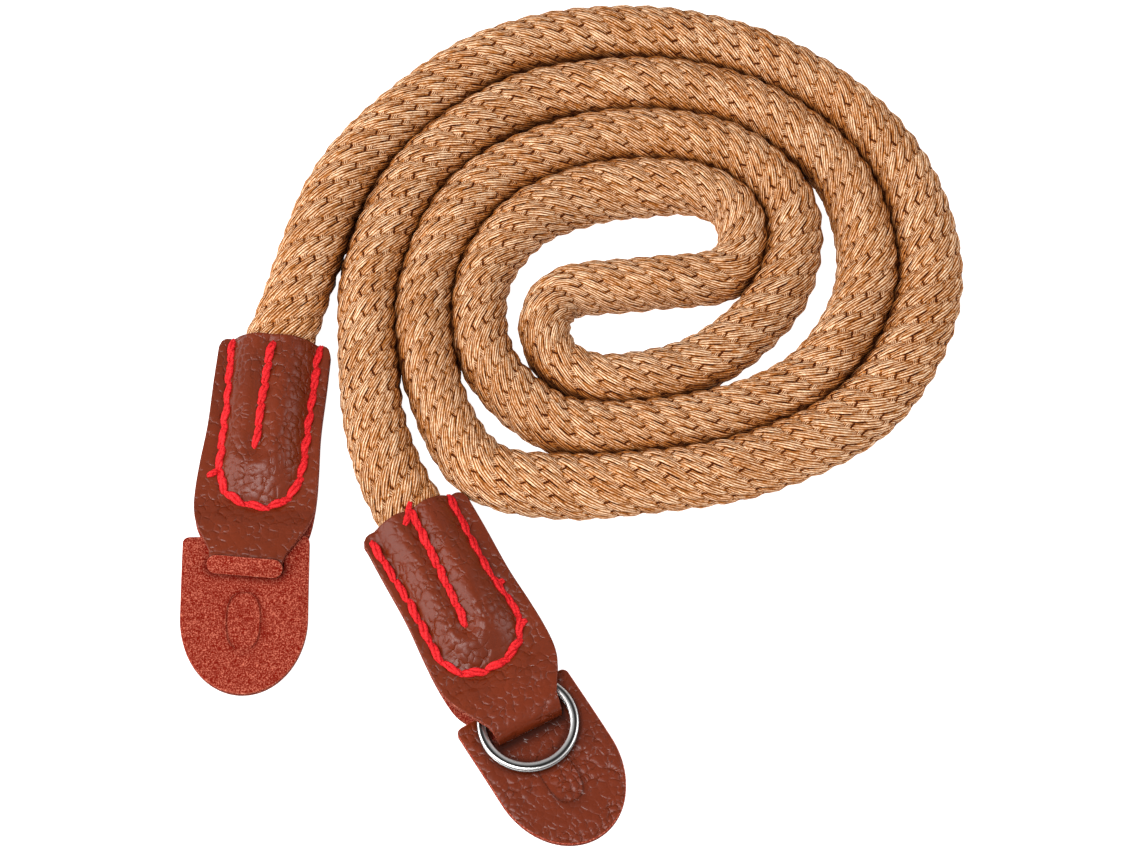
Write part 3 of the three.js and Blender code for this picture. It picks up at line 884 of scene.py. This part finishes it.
class STRAP_OT_tabs(bpy.types.Operator):
    """Make the two leather tabs that hold the rope's ends"""

    bl_idname = "strap.tabs"
    bl_label = "Leather tabs"

    def execute(self, context):
        settings = context.scene.strap_leather
        grain = grain_material(settings, "tab_grain", settings.pebbles, 1.0)
        edge = suede_material("tab_edge", tuple(settings.edge))
        flesh = suede_material("tab_flesh", tuple(settings.suede))
        rows = TAB_ROWS_TOP + TAB_ROWS_FOLD + TAB_ROWS_UNDER
        grid = {"x_subdivisions": TAB_COLUMNS, "y_subdivisions": rows, "size": 1.0}
        for side, end in ENDS.items():
            tab = added(side + "_tab_leather", bpy.ops.mesh.primitive_grid_add, **grid)
            flat = points_of(tab)
            move_points(tab, tab_skin(end, -2 * flat[:, 0], (flat[:, 1] + 0.5) * rows, settings.tab / MM))
            for material in (grain, edge, flesh):
                tab.data.materials.append(material)
            inside = {"offset": -1.0, "material_offset": 2, "material_offset_rim": 1}
            apply_modifier(tab, "SOLIDIFY", thickness=settings.tab, use_even_offset=True, **inside)
            round_edges(tab, width=TAB_RIM)
            smooth_shading(tab, 50)
            hand_in(tab, side + "_tab")
        return {"FINISHED"}


# A stitch: its samples, the twist of its three yarns, how far it rises and sinks, and how far its yarns lie
# from its middle and how thick they are, as shares of its width
STITCH_SAMPLES, STITCH_TWIST = 11, 0.55
STITCH_RISE, STITCH_SINK = 0.42, 0.22
YARN_ASIDE, YARN_UP, YARN_RADIUS = 0.27, 0.16, 0.27
# How a row of stitches lies, in millimetres, and how much it varies
STITCH_SLANT, SLANT_VARIES, STITCH_OVERLAP = 0.22, 0.4, 0.3
WIDTH_VARIES = (0.92, 1.08)
LOOSE_WIDTH = 0.8


def along_line(points, step):
    """Points at equal steps along a line of (along, across)"""
    points = smooth_line(np.array(points, float), 8)
    run = run_length(points)
    count = max(1, round(run[-1] / step))
    return between(np.linspace(0, run[-1], count + 1), run, points)


def thread_tube(path, widths, sides=7):
    """Rings of a tube along a path of places"""
    way = unit(np.gradient(path, axis=0))
    side = unit(np.cross(way, (0, 0, 1.0)))
    up = np.cross(side, way)
    angle = np.arange(sides) * 2 * math.pi / sides
    spread = side[:, None] * np.cos(angle)[None, :, None] + up[:, None] * np.sin(angle)[None, :, None]
    return path[:, None] + spread * np.asarray(widths)[:, None, None]


def stitch_yarns(skin, start, finish, width, spin):
    """The three yarns of one stitch, in millimetres, from hole to hole over the skin"""
    share = np.linspace(0, 1, STITCH_SAMPLES)
    along = start[0] + (finish[0] - start[0]) * share
    across = start[1] + (finish[1] - start[1]) * share
    swell = width * (0.6 + 0.4 * np.sin(math.pi * share) ** 0.7)
    lift = width * (STITCH_RISE * np.sin(math.pi * share) ** 0.6 - STITCH_SINK)
    way = unit(np.subtract(finish, start))
    yarns = []
    for yarn in range(3):
        angle = 2 * math.pi * (yarn / 3 + STITCH_TWIST * share) + spin
        aside = YARN_ASIDE * swell * np.cos(angle)
        a = along - way[1] * aside
        c = across + way[0] * aside
        path = np.column_stack([a, c, skin(a, c) + lift + YARN_UP * swell * np.sin(angle)])
        yarns.append((path, YARN_RADIUS * swell))
    return yarns


def thread_object(name, end, yarns):
    vertices, faces = [], []
    for path, widths in yarns:
        rings = thread_tube(to_world(end, path[:, 1], path[:, 0], path[:, 2]), widths * MM)
        count, sides, _ = rings.shape
        faces += tube_faces(count, sides, sum(map(len, vertices)))
        vertices.append(rings.reshape(-1, 3))
    return mesh_object(name, np.concatenate(vertices), faces)


def thread_material(settings):
    material, shader, start = new_material("red_thread", {"Specular IOR Level": 0.1})
    fibre = start.own_place().noise(2600.0, 3.0, 0.6)
    red = tuple(settings.red)
    pale = tuple(min(c * 1.2 + 0.015, 1) for c in red)
    feed(
        shader,
        Base_Color=fibre.step(0.3, 0.7).mix(scaled(red, 0.6), pale),
        Roughness=0.5 + 0.2 * fibre,
        Normal=fibre.bump(0.5, 0.0002),
    )
    return material


class STRAP_OT_stitching(bpy.types.Operator):
    """Sew the tabs: a line round the rope's end and one along its middle"""

    bl_idname = "strap.stitching"
    bl_label = "Stitching"

    def execute(self, context):
        settings = context.scene.strap_thread
        leather = context.scene.strap_leather.tab / MM
        width = settings.thickness / MM
        material = thread_material(settings)
        for side, end in ENDS.items():
            random = np.random.default_rng(len(side))

            def skin(along, across):
                return tab_top(end, along, across, leather)

            yarns = []
            for line in (end["side_line"], end["middle_line"]):
                holes = along_line(line, settings.stitch / MM)
                for hole, next_hole in zip(holes, holes[1:]):
                    way = unit(next_hole - hole)
                    slant = STITCH_SLANT * (1 + SLANT_VARIES * random.standard_normal())
                    aside = slant * np.array([-way[1], way[0]])
                    first = hole - STITCH_OVERLAP * way + aside
                    last = next_hole + STITCH_OVERLAP * way - aside
                    own_width = width * random.uniform(*WIDTH_VARIES)
                    yarns += stitch_yarns(skin, first, last, own_width, random.uniform(0, 6))
            for first, last in end["loose_threads"]:
                yarns += stitch_yarns(skin, first, last, LOOSE_WIDTH * width, 0.0)
            stitching = thread_object(side + "_stitching", end, yarns)
            stitching.data.materials.append(material)
            smooth_shading(stitching, 60)
            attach(stitching, "root")
        return {"FINISHED"}


# The guard in its own frame, in millimetres, along from its straight edge to its round end
GUARD_HALF_WIDTH = 12.4
GUARD_LENGTH = 32.0
GUARD_NOSE = 15.2
GUARD_CORNER = 1.3
GUARD_RIM = 0.14
FACES_UP = 0.6
FOLD_IN_GUARD = 7.6
GUARD_STATIONS = (0, 4, 8.6, 13, 16.8, 21, 25, 29, 32)
SLOT_START, SLOT_WIDTH, SLOT_LENGTH = 3.7, 3.85, 14.8
OVAL_HALF_LENGTH, OVAL_HALF_WIDTH, OVAL_CUT, OVAL_BRIDGE = 5.8, 3.45, 0.34, 40.0
OVAL_DEPTH = 0.2
OVAL_SQUARED = (0.66, 0.8)
FLAP_START, FLAP_WIDTH, FLAP_LENGTH, FLAP_TILT, FLAP_DROP = 8.1, 3.65, 14.8, 32.0, 0.05
# Cuts that give the guard points enough to bend it and to carry its painted shade
SLICES_ALONG = (*np.arange(1.0, 18.0, 0.5), *np.arange(18.0, GUARD_LENGTH, 1.0))
SLICES_ACROSS = np.arange(-10.5, 11.0, 0.5)
# Its grain beside the tab's: how much finer and how much deeper
GUARD_PEBBLES, GUARD_WEAR = 1.16, 1.35
# Depth of the painted shade, and how far it reaches, in millimetres. Under the fold it has two parts
FLAP_SHADE, FLAP_SHADE_REACH, FLAP_SHADE_MIDDLE, FLAP_FOOT = 0.6, 1.8, 0.42, 0.03
FOLD_SHADES = ((0.9, -0.4, 3.2), (0.25, 2.0, 7.5))
FOLD_SHADE_MOST, FOLD_SHADE_SIDE, FOLD_SHADE_FROM = 0.95, 1.5, -0.6
RING_SHADE, RING_SHADE_IN, RING_SHADE_OUT = 0.6, (2.6, 0.6), 1.0
OVAL_SHADE = 0.25

# The split ring, in millimetres
RING_OUTER, RING_INNER, RING_HEIGHT = 9.75, 8.1, 1.8
RING_MIDDLE = (RING_OUTER + RING_INNER) / 2
RING_ABOVE_FOLD = 1.2
RING_SIDES, RING_STEPS = 32, 160
# Rise of the wire for each turn while it is made, which keeps its turns apart
RING_RISE = 10.0
TURN_GAP = 0.02
STEEL_DARK, STEEL_BRIGHT = (0.03, 0.025, 0.025), (0.86, 0.85, 0.84)
# Bright and dark bands round the drawn wire: its base colour, a painted reflection of the sky and the lamps,
# and its roughness follow them. Columns: degrees round its section, from the outside over the top; share
RING_POLISH_AND_REFLECTION = (
    (-180, 0.3), (-90, 0.4), (0, 0.5), (14, 0.0), (24, 0.3), (36, 0.9), (48, 0.9), (60, 0.1), (78, 0.0),
    (90, 0.15), (102, 0.5), (118, 0.6), (134, 1.0), (168, 1.0), (180, 0.3),
)


def from_guard(end, across, along):
    """A guard's own across and along in the frame of its end"""
    across, past_fold = turned(across, along - FOLD_IN_GUARD, -end["guard_turn"])
    return across, TAB_LENGTH + past_fold


def plate(name, outline, low, high):
    """A flat plate with that outline, in millimetres"""
    circle = {"vertices": len(outline), "fill_type": "NGON", "radius": 1.0}
    piece = added(name, bpy.ops.mesh.primitive_circle_add, **circle)
    move_points(piece, np.column_stack([outline, np.full(len(outline), high)]))
    edit_all()
    bpy.ops.mesh.extrude_region_move(TRANSFORM_OT_translate={"value": (0, 0, low - high)})
    close_edit()
    return piece


def arc(centre, radii, start, finish, count):
    angle = np.radians(np.linspace(start, finish, count))
    return np.column_stack([centre[0] + radii[0] * np.cos(angle), centre[1] + radii[1] * np.sin(angle)])


def stadium(length, width):
    reach = (length - width) / 2
    radii = (width / 2, width / 2)
    return np.vstack([arc((reach, 0), radii, -90, 90, 16), arc((-reach, 0), radii, 90, 270, 16)])


def guard_outline():
    corner = GUARD_CORNER
    inset = GUARD_HALF_WIDTH - corner
    shoulder = -(GUARD_LENGTH - GUARD_NOSE)
    return np.vstack([
        arc((inset, -corner), (corner, corner), 0, 90, 6),
        arc((-inset, -corner), (corner, corner), 90, 180, 6),
        arc((0, shoulder), (GUARD_HALF_WIDTH, GUARD_NOSE), 180, 360, 49),
    ])


def oval_outline(bridge_at):
    """A thin line along an oval with straightened sides, left out at its bridge"""
    start, finish = bridge_at + OVAL_BRIDGE / 2, bridge_at + 360 - OVAL_BRIDGE / 2
    unit = arc((0, 0), (1, 1), start, finish, 48)
    squared = np.sign(unit) * np.abs(unit) ** np.array(OVAL_SQUARED)
    radii = np.array([OVAL_HALF_WIDTH, OVAL_HALF_LENGTH])
    return np.vstack([squared * radii, squared[::-1] * (radii - OVAL_CUT)])


def straight_to_fold(end, outline):
    """A guard's outline turned about the tab's fold, back to the way that the tab lies"""
    fold = (0, FOLD_IN_GUARD)
    return np.column_stack(turned(*(outline + fold).T, -end["guard_turn"])) - fold


def finish_sides(piece, materials):
    """Give a plate's upper side, lower side, cut edge and rim their materials, and round the rim"""
    piece.data.materials.clear()
    for material in materials:
        piece.data.materials.append(material)
    for face in piece.data.polygons:
        up = face.normal.z
        face.material_index = 0 if up > FACES_UP else 1 if up < -FACES_UP else 2
    round_edges(piece, width=GUARD_RIM, material=3)


def cut(piece, cutter, operation):
    apply_modifier(piece, "BOOLEAN", object=cutter, operation=operation, solver="EXACT")
    bpy.data.objects.remove(cutter)


def slice_up(piece):
    activate(piece)
    bpy.ops.object.mode_set(mode="EDIT")
    planes = [((0, -along, 0), (0, 1, 0)) for along in SLICES_ALONG]
    planes += [((across, 0, 0), (1, 0, 0)) for across in SLICES_ACROSS]
    for place, way in planes:
        bpy.ops.mesh.select_all(action="SELECT")
        bpy.ops.mesh.bisect(plane_co=place, plane_no=way)
    bpy.ops.object.mode_set(mode="OBJECT")


def raise_flap(flap, end, hinge):
    """Tilt the flap up about its lower edge"""
    x, y, z = points_of(flap).T
    y, z = turned(y, z, FLAP_TILT)
    leaning = np.column_stack([x, y - FLAP_START])
    move_points(flap, np.column_stack([straight_to_fold(end, leaning), z + hinge]))


def guard_shade(end, places, low):
    """The painted shade of a guard's points: the shadow by the flap, or under the fold and the ring, and
    round the oval. Low are the points below the flap"""
    across, along = from_guard(end, places[:, 0], -places[:, 1])
    past_fold = along - TAB_LENGTH
    if end["flap"]:
        middle = FLAP_START - FOLD_IN_GUARD - FLAP_SHADE_MIDDLE * FLAP_WIDTH
        reach = (FLAP_LENGTH - FLAP_WIDTH) / 2
        aside = np.hypot(np.maximum(np.abs(across) - reach, 0), past_fold - middle) - FLAP_WIDTH / 2
        shade = FLAP_SHADE * low * (1 - eased(0.0, FLAP_SHADE_REACH, aside))
    else:
        beside = 1 - eased(FOLD_HALF_WIDTH, FOLD_HALF_WIDTH + FOLD_SHADE_SIDE, np.abs(across))
        fold = sum(depth * (1 - eased(near, far, past_fold)) for depth, near, far in FOLD_SHADES)
        shade = np.minimum(fold, FOLD_SHADE_MOST) * beside * (past_fold > FOLD_SHADE_FROM)
        from_ring = np.hypot(across, past_fold + RING_ABOVE_FOLD)
        far, near = (RING_INNER - inside for inside in RING_SHADE_IN)
        outside = 1 - eased(RING_OUTER, RING_OUTER + RING_SHADE_OUT, from_ring)
        shade = np.maximum(shade, RING_SHADE * eased(far, near, from_ring) * outside)
    radii = (OVAL_HALF_WIDTH, OVAL_HALF_LENGTH)
    past_oval = np.hypot(*((places[:, :2] + (0, end["oval_middle"])) / radii).T) - 1
    round_oval = eased(-0.12, 0.0, past_oval) * (1 - eased(0.05, 0.35, past_oval))
    return np.maximum(shade, OVAL_SHADE * round_oval)


class STRAP_OT_guards(bpy.types.Operator):
    """Make the two leather guards under the split rings"""

    bl_idname = "strap.guards"
    bl_label = "Ring guards"

    def execute(self, context):
        settings = context.scene.strap_leather
        leather = settings.guard / MM
        grain = grain_material(settings, "guard_grain", GUARD_PEBBLES * settings.pebbles, GUARD_WEAR)
        suede = suede_material("guard_suede", tuple(settings.suede))
        edge = suede_material("guard_edge", tuple(settings.edge))
        # The rim: partly raw leather, partly a painted highlight along the rounded edge
        rim = suede_material("guard_rim", tuple(settings.rim))
        for side, end in ENDS.items():
            materials = (suede, grain, edge, rim) if end["suede_up"] else (grain, suede, edge, rim)
            guard = plate(side + "_guard_leather", guard_outline(), 0, leather)
            finish_sides(guard, materials)
            slot = stadium(SLOT_LENGTH, SLOT_WIDTH) - (0, SLOT_START + SLOT_WIDTH / 2)
            cut(guard, plate("slot", straight_to_fold(end, slot), -1, leather + 1), "DIFFERENCE")
            oval = oval_outline(end["oval_bridge"]) - (0, end["oval_middle"])
            cut(guard, plate("oval", oval, leather - OVAL_DEPTH, leather + 1), "DIFFERENCE")
            slice_up(guard)
            bend = list(zip(GUARD_STATIONS, end["guard_bend"]))
            places = points_of(guard)
            places[:, 2] += column(bend, -places[:, 1], 1)
            move_points(guard, places)
            if end["flap"]:
                outline = stadium(FLAP_LENGTH, FLAP_WIDTH) + (0, FLAP_WIDTH / 2)
                flap = plate("flap", outline, 0, leather)
                finish_sides(flap, materials)
                raise_flap(flap, end, float(column(bend, FLAP_START, 1)) + leather - FLAP_DROP)
                cut(guard, flap, "UNION")
            places = points_of(guard)
            low = places[:, 2] < column(bend, -places[:, 1], 1) + leather + FLAP_FOOT
            # Painted shade fixed to the guard, standing in for the shadows of the flap, the fold and the ring
            # and for the shade round the oval cut
            add_attribute(guard, "PaintedShade", guard_shade(end, places, low))
            across, along = from_guard(end, places[:, 0], -places[:, 1])
            move_points(guard, to_world(end, across, along, places[:, 2]))
            smooth_shading(guard, 40)
            hand_in(guard, side + "_protector")
        return {"FINISHED"}


def ring_section(wide, tall):
    """The wire's oval section, standing beside the ring's axis"""
    angle = np.arange(RING_SIDES) * 2 * math.pi / RING_SIDES
    return np.column_stack([RING_MIDDLE + wide * np.cos(angle), 0 * angle, tall * np.sin(angle)])


def split_ring(side, end, jog):
    """Two turns of wire, with a step up from one to the other"""
    level = RING_HEIGHT / 2
    wide = (RING_OUTER - RING_INNER) / 2
    tall = level / 2 - TURN_GAP
    turns = 2 - jog / (2 * math.pi)
    half_jog = jog / (4 * math.pi)
    circle = {"vertices": RING_SIDES, "radius": 1.0}
    ring = added(side + "_split_ring", bpy.ops.mesh.primitive_circle_add, **circle)
    move_points(ring, ring_section(wide, tall))
    wound = {"angle": turns * 2 * math.pi, "screw_offset": turns * RING_RISE, "use_normal_calculate": True}
    apply_modifier(ring, "SCREW", steps=RING_STEPS, render_steps=RING_STEPS, **wound)
    edit_all()
    bpy.ops.mesh.fill_holes(sides=0)
    close_edit()
    x, y, z = points_of(ring).T
    round_axis = np.arctan2(y, x) / (2 * math.pi)
    round_axis = round_axis + np.round(z / RING_RISE - round_axis)
    stepped = eased(turns / 2 - half_jog, turns / 2 + half_jog, round_axis)
    in_wire = z - round_axis * RING_RISE
    radius = np.hypot(x, y)
    degrees = np.degrees(np.arctan2(in_wire / tall, (radius - RING_MIDDLE) / wide))
    # Painted reflection: the wire's colour banded by the angle round its section
    add_attribute(ring, "PolishAndReflection", np.interp(degrees, *np.transpose(RING_POLISH_AND_REFLECTION)))
    way = 2 * math.pi * round_axis + math.radians(end["ring_start"])
    back, up = turned(radius * np.sin(way), in_wire + level * (0.5 + stepped), end["ring_tilt"])
    along = TAB_LENGTH - RING_ABOVE_FOLD - back
    move_points(ring, to_world(end, radius * np.cos(way), along, up + end["ring_up"]))
    return ring


class STRAP_OT_rings(bpy.types.Operator):
    """Make the two split rings: two turns of flattened wire with a step between them"""

    bl_idname = "strap.rings"
    bl_label = "Split rings"

    def execute(self, context):
        settings = context.scene.strap_ring
        material, shader, start = new_material("polished_steel", {"Metallic": 1.0})
        # Painted reflection: the bands turn the steel dark or bright, and rougher where bright
        polish_and_reflection = start.attribute("PolishAndReflection")
        colour = polish_and_reflection.mix(STEEL_DARK, STEEL_BRIGHT)
        feed(shader, Base_Color=colour, Roughness=settings.roughness + 0.3 * polish_and_reflection)
        for side, end in ENDS.items():
            ring = split_ring(side, end, settings.jog)
            ring.data.materials.append(material)
            smooth_shading(ring, 50)
            hand_in(ring, side + "_ring")
        return {"FINISHED"}


# The lamps, in metres and watts. Columns: name, place, size, power
LAMPS = (
    ("front_light", (-0.3, -0.45, 1.1), (0.7, 0.5), 12.0),
    ("left_light", (-1.0, -0.25, 0.5), (1.1, 1.1), 14.0),
    ("right_light", (0.9, 0.1, 0.7), (0.6, 0.6), 4.0),
)
# Brightness of the sky, which the leather and the steel reflect. Columns: height from 0 to 1, brightness
SKY = ((0.0, 0.5), (0.22, 0.5), (0.28, 0.04), (0.4, 0.04), (0.5, 0.9), (1.0, 0.35))


def area_light(name, place, aim, size, power):
    data = bpy.data.lights.new(name, "AREA")
    data.shape = "ELLIPSE"
    data.size, data.size_y = size
    data.energy = power
    lamp = bpy.data.objects.new(name, data)
    bpy.context.scene.collection.objects.link(lamp)
    lamp.location = place
    lamp.rotation_euler = (Vector(aim) - Vector(place)).to_track_quat("-Z", "Y").to_euler()


class STRAP_OT_stage(bpy.types.Operator):
    """Make the floor, the studio light and the camera"""

    bl_idname = "strap.stage"
    bl_label = "Stage"

    def execute(self, context):
        scene = context.scene
        settings = scene.strap_stage
        aim = Vector(settings.aim)
        back = Vector((0.0, -math.cos(settings.elevation), math.sin(settings.elevation)))
        camera = bpy.data.objects.new("camera", bpy.data.cameras.new("camera"))
        scene.collection.objects.link(camera)
        camera.data.lens = settings.lens
        camera.data.sensor_width = 36.0
        camera.data.clip_start = 0.01
        camera.location = aim + back * settings.distance
        camera.rotation_euler = (-back).to_track_quat("-Z", "Y").to_euler()
        scene.camera = camera

        floor = added("floor", bpy.ops.mesh.primitive_plane_add, size=8.0, location=(0, 0, 0))
        material, _, _ = new_material("pale_floor", {
            "Roughness": 0.9,
            "Specular IOR Level": 0.1,
            "Base Color": (0.5, 0.5, 0.5, 1.0),
            "Emission Color": (1.0, 1.0, 1.0, 1.0),
            "Emission Strength": settings.floor_glow,
        })
        floor.data.materials.append(material)

        for name, place, size, power in LAMPS:
            area_light(name, place, aim, size, power)
        world = bpy.data.worlds.new("studio")
        world.use_nodes = True
        way = Shade(world.node_tree).node("ShaderNodeTexCoord")
        up = way.node("ShaderNodeSeparateXYZ", inputs={0: way}, output=2)
        grey = up.ramp([(height, (level,) * 3) for height, level in SKY])
        feed(world.node_tree.nodes["Background"], Color=grey)
        scene.world = world
        scene.view_settings.view_transform = "Standard"
        return {"FINISHED"}


class STRAP_PT_sidebar(bpy.types.Panel):
    """The strap's operators and sizes"""

    bl_idname = "STRAP_PT_sidebar"
    bl_label = "Rope camera strap"
    bl_space_type = "VIEW_3D"
    bl_region_type = "UI"
    bl_category = "Strap"

    def draw(self, context):
        for operator in OPERATORS:
            self.layout.operator(operator.bl_idname)
        for group, name in GROUPS:
            box = self.layout.box()
            for prop in group.__annotations__:
                box.prop(getattr(context.scene, name), prop)


GROUPS = (
    (RopeSettings, "strap_rope"),
    (LeatherSettings, "strap_leather"),
    (ThreadSettings, "strap_thread"),
    (RingSettings, "strap_ring"),
    (StageSettings, "strap_stage"),
)
OPERATORS = (
    STRAP_OT_stage,
    STRAP_OT_rope,
    STRAP_OT_tabs,
    STRAP_OT_stitching,
    STRAP_OT_guards,
    STRAP_OT_rings,
)


def register():
    for group, name in GROUPS:
        bpy.utils.register_class(group)
        setattr(bpy.types.Scene, name, PointerProperty(type=group))
    for cls in (*OPERATORS, STRAP_PT_sidebar):
        bpy.utils.register_class(cls)


def unregister():
    for cls in (STRAP_PT_sidebar, *reversed(OPERATORS)):
        bpy.utils.unregister_class(cls)
    for group, name in reversed(GROUPS):
        delattr(bpy.types.Scene, name)
        bpy.utils.unregister_class(group)


def main():
    register()
    bpy.ops.strap.stage()
    bpy.ops.strap.rope()
    bpy.ops.strap.tabs()
    bpy.ops.strap.stitching()
    bpy.ops.strap.guards()
    bpy.ops.strap.rings()


if __name__ == "__main__":
    main()
